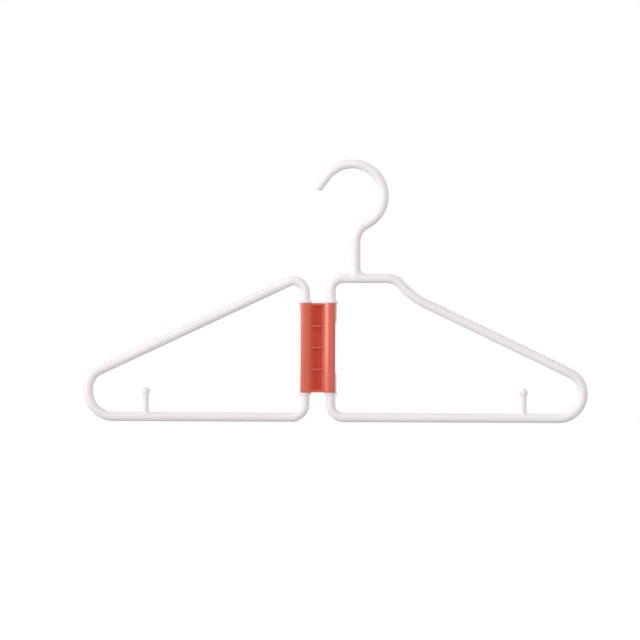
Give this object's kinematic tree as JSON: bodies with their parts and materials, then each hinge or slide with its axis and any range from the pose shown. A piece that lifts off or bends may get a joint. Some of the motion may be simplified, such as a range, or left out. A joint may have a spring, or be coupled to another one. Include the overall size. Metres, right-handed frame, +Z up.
{
  "type": "folding clothes hanger",
  "caption": "Folding clothes hanger: round-rod loops with ribbed shoulders and upright pegs turn on a snap-in hinge connector, and one loop carries the hook.",
  "frame": {"origin": "the point inside the top of the hook where the rail touches it, in the middle plane of the rod", "axes": "+X along the hanger's width towards the frame that carries the hook, +Y away from the viewer through the thickness, +Z up"},
  "size_m": [0.4001, 0.0124, 0.2086],
  "materials": {
    "white_plastic": "semi-gloss moulded plastic, warm white with a faint lilac tint",
    "coral_plastic": "semi-gloss moulded plastic, coral red"
  },
  "bodies": {
    "right_frame": {"right_frame": "white_plastic"},
    "connector": {"hinge_connector": "coral_plastic"},
    "left_frame": {"left_frame": "white_plastic"}
  },
  "joints": [
    {"name": "right_hinge", "type": "hinge", "parent": "right_frame", "child": "connector", "pos_m": [-0.01655, 0, -0.1426], "axis": [0, 0, 1], "range_deg": [-90, 90]},
    {"name": "left_hinge", "type": "hinge", "parent": "connector", "child": "left_frame", "pos_m": [-0.03705, 0, -0.1426], "axis": [0, 0, 1], "range_deg": [-90, 90]}
  ]
}
